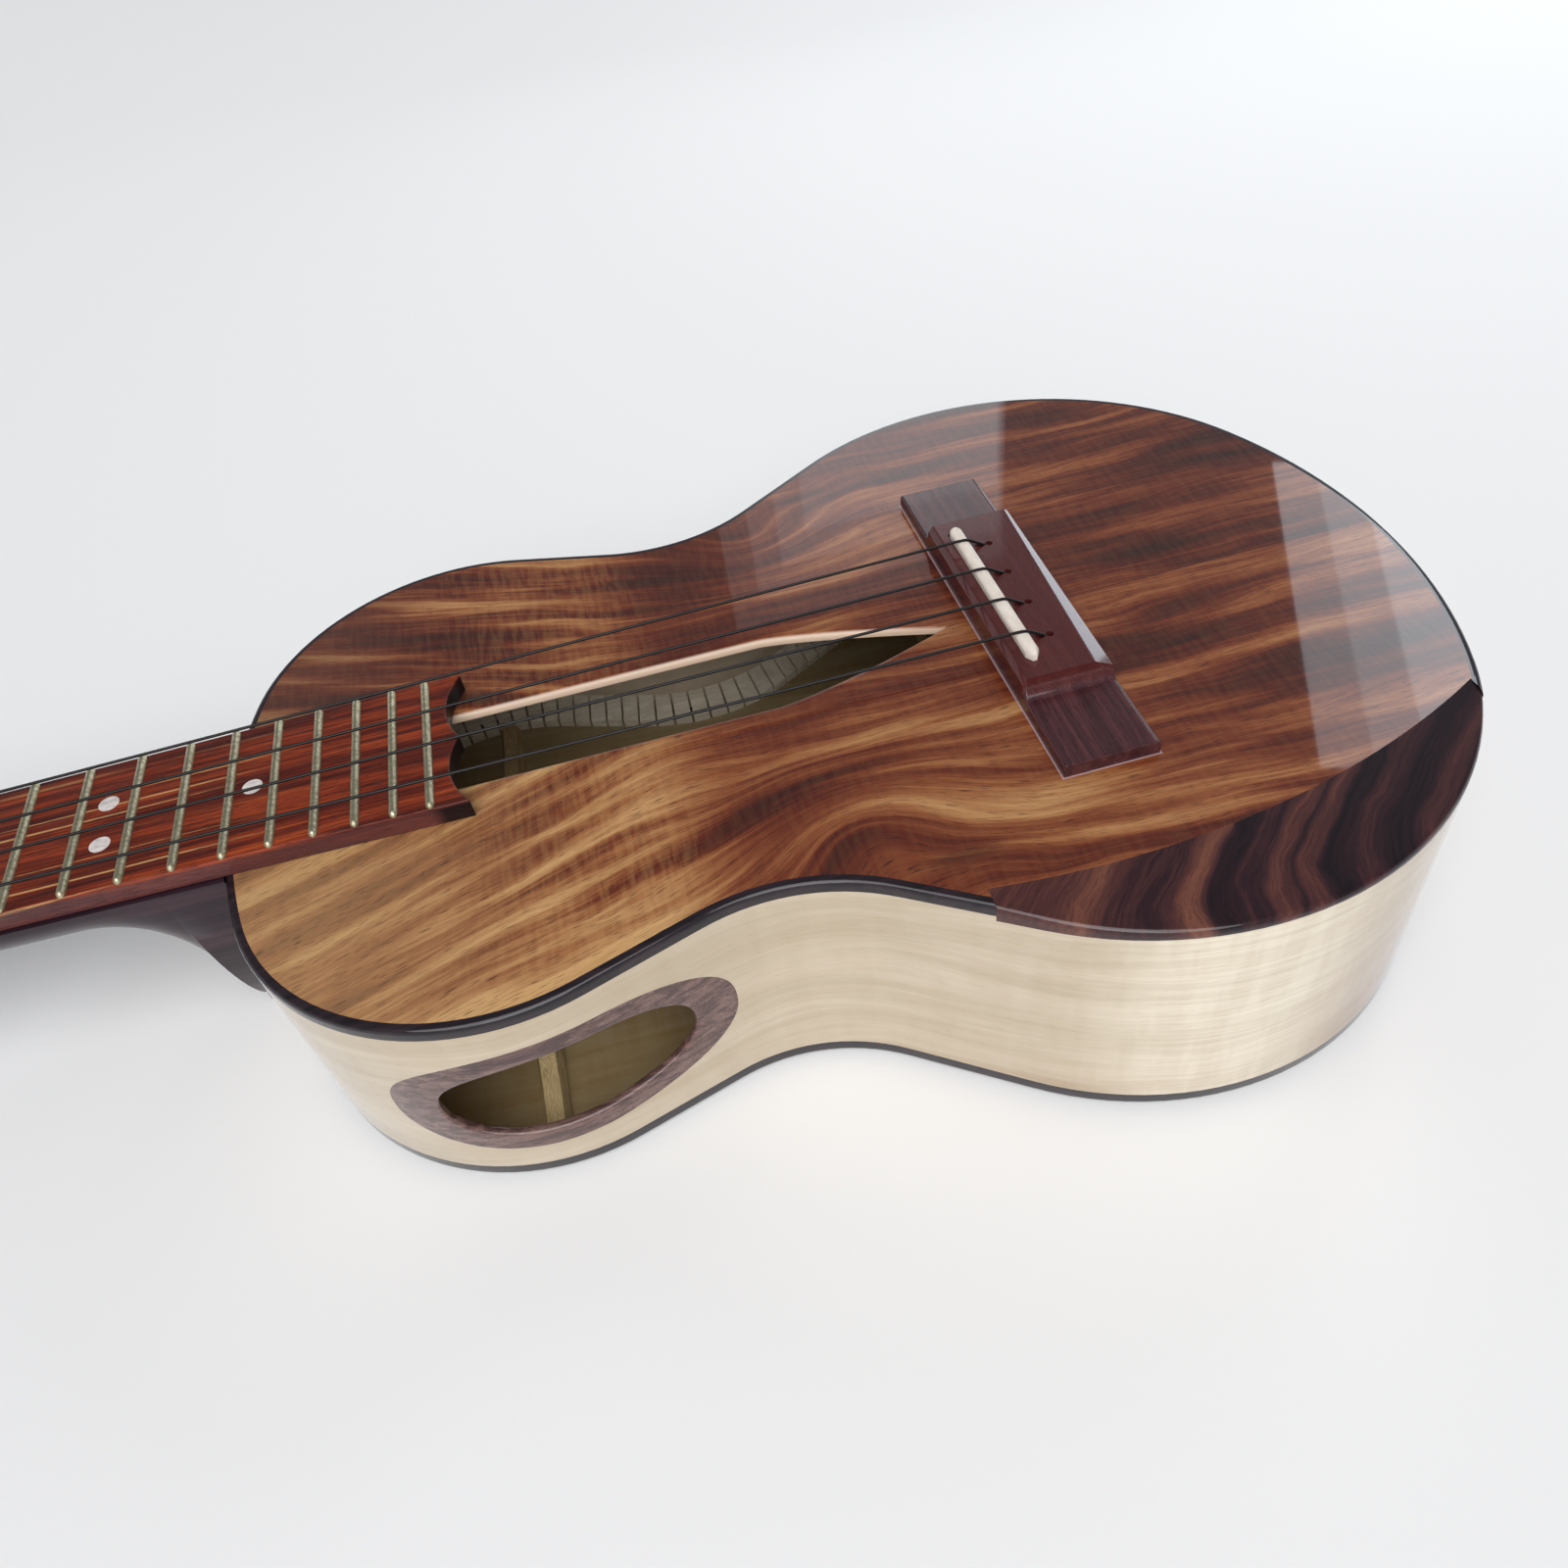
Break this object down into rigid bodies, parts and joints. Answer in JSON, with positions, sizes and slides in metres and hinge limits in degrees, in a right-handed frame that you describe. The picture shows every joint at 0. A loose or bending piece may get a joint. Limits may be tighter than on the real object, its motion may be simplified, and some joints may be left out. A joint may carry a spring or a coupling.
{
  "type": "tenor ukulele",
  "caption": "Tenor ukulele with a slot soundhole, a side sound port, a bevelled armrest and geared tuners that turn their string posts.",
  "frame": {"origin": "on the outer face of the flat back, midway between the neck joint and the tail, on the centreline", "axes": "+X along the instrument from the headstock to the tail, +Y to the treble side, +Z from the back up through the soundboard"},
  "size_m": [0.7056, 0.215, 0.0824],
  "materials": {
    "figured_top": "gloss figured hardwood",
    "pale_side": "gloss pale hardwood",
    "rosewood": "satin",
    "striped_ebony": "gloss",
    "dark_binding": "gloss",
    "inside_wood": "raw",
    "neck_wood": "satin",
    "fretboard_wood": "satin",
    "bone": "polished bone",
    "fret_wire": "polished nickel silver",
    "nickel": "polished",
    "button_ivory": "gloss",
    "nylon": "smooth monofilament"
  },
  "bodies": {
    "instrument": {"soundboard": "figured_top", "back_plate": "pale_side", "side_bass": "pale_side", "side_treble": "pale_side", "port_rim": "rosewood", "binding_top": "dark_binding", "binding_back": "dark_binding", "armrest": "striped_ebony", "lining_top": "inside_wood", "lining_back": "inside_wood", "neck_block": "neck_wood", "tail_block": "neck_wood", "back_brace_upper": "inside_wood", "back_brace_lower": "inside_wood", "upper_transverse_brace": "inside_wood", "top_brace_bass": "inside_wood", "top_brace_treble": "inside_wood", "bridge_plate": "rosewood", "neck": "neck_wood", "heel_cap": "rosewood", "headplate": "rosewood", "fretboard": "fretboard_wood", "nut": "bone", "saddle": "bone", "bridge": "rosewood", "fret_01": "fret_wire", "fret_02": "fret_wire", "fret_03": "fret_wire", "fret_04": "fret_wire", "fret_05": "fret_wire", "fret_06": "fret_wire", "fret_07": "fret_wire", "fret_08": "fret_wire", "fret_09": "fret_wire", "fret_10": "fret_wire", "fret_11": "fret_wire", "fret_12": "fret_wire", "fret_13": "fret_wire", "fret_14": "fret_wire", "fret_15": "fret_wire", "fret_16": "fret_wire", "fret_17": "fret_wire", "fret_18": "fret_wire", "fret_19": "fret_wire", "string_g": "nylon", "string_c": "nylon", "string_e": "nylon", "string_a": "nylon", "tuner_base_1": "nickel", "tuner_base_2": "nickel", "tuner_base_3": "nickel", "tuner_base_4": "nickel"},
    "button_1": {"tuner_button_1": "button_ivory"},
    "post_1": {"tuner_post_1": "nickel"},
    "button_2": {"tuner_button_2": "button_ivory"},
    "post_2": {"tuner_post_2": "nickel"},
    "button_3": {"tuner_button_3": "button_ivory"},
    "post_3": {"tuner_post_3": "nickel"},
    "button_4": {"tuner_button_4": "button_ivory"},
    "post_4": {"tuner_post_4": "nickel"}
  },
  "joints": [
    {"name": "button_1_turn", "type": "hinge", "parent": "instrument", "child": "button_1", "pos_m": [-0.43286, -0.0165, 0.02075], "axis": [0, 1, 0], "continuous": true},
    {"name": "post_1_turn", "type": "hinge", "parent": "instrument", "child": "post_1", "pos_m": [-0.4432, -0.0165, 0.03597], "axis": [-0.1933, 0, 0.9811], "continuous": true},
    {"name": "button_2_turn", "type": "hinge", "parent": "instrument", "child": "button_2", "pos_m": [-0.47799, -0.0165, 0.01186], "axis": [0, 1, 0], "continuous": true},
    {"name": "post_2_turn", "type": "hinge", "parent": "instrument", "child": "post_2", "pos_m": [-0.48833, -0.0165, 0.02707], "axis": [-0.1933, 0, 0.9811], "continuous": true},
    {"name": "button_3_turn", "type": "hinge", "parent": "instrument", "child": "button_3", "pos_m": [-0.47799, 0.0165, 0.01186], "axis": [0, 1, 0], "continuous": true},
    {"name": "post_3_turn", "type": "hinge", "parent": "instrument", "child": "post_3", "pos_m": [-0.48833, 0.0165, 0.02707], "axis": [-0.1933, 0, 0.9811], "continuous": true},
    {"name": "button_4_turn", "type": "hinge", "parent": "instrument", "child": "button_4", "pos_m": [-0.43286, 0.0165, 0.02075], "axis": [0, 1, 0], "continuous": true},
    {"name": "post_4_turn", "type": "hinge", "parent": "instrument", "child": "post_4", "pos_m": [-0.4432, 0.0165, 0.03597], "axis": [-0.1933, 0, 0.9811], "continuous": true}
  ],
  "couplings": [
    {"joint": "post_1_turn", "follows": "button_1_turn", "ratio": 0.071429},
    {"joint": "post_2_turn", "follows": "button_2_turn", "ratio": 0.071429},
    {"joint": "post_3_turn", "follows": "button_3_turn", "ratio": -0.071429},
    {"joint": "post_4_turn", "follows": "button_4_turn", "ratio": -0.071429}
  ]
}
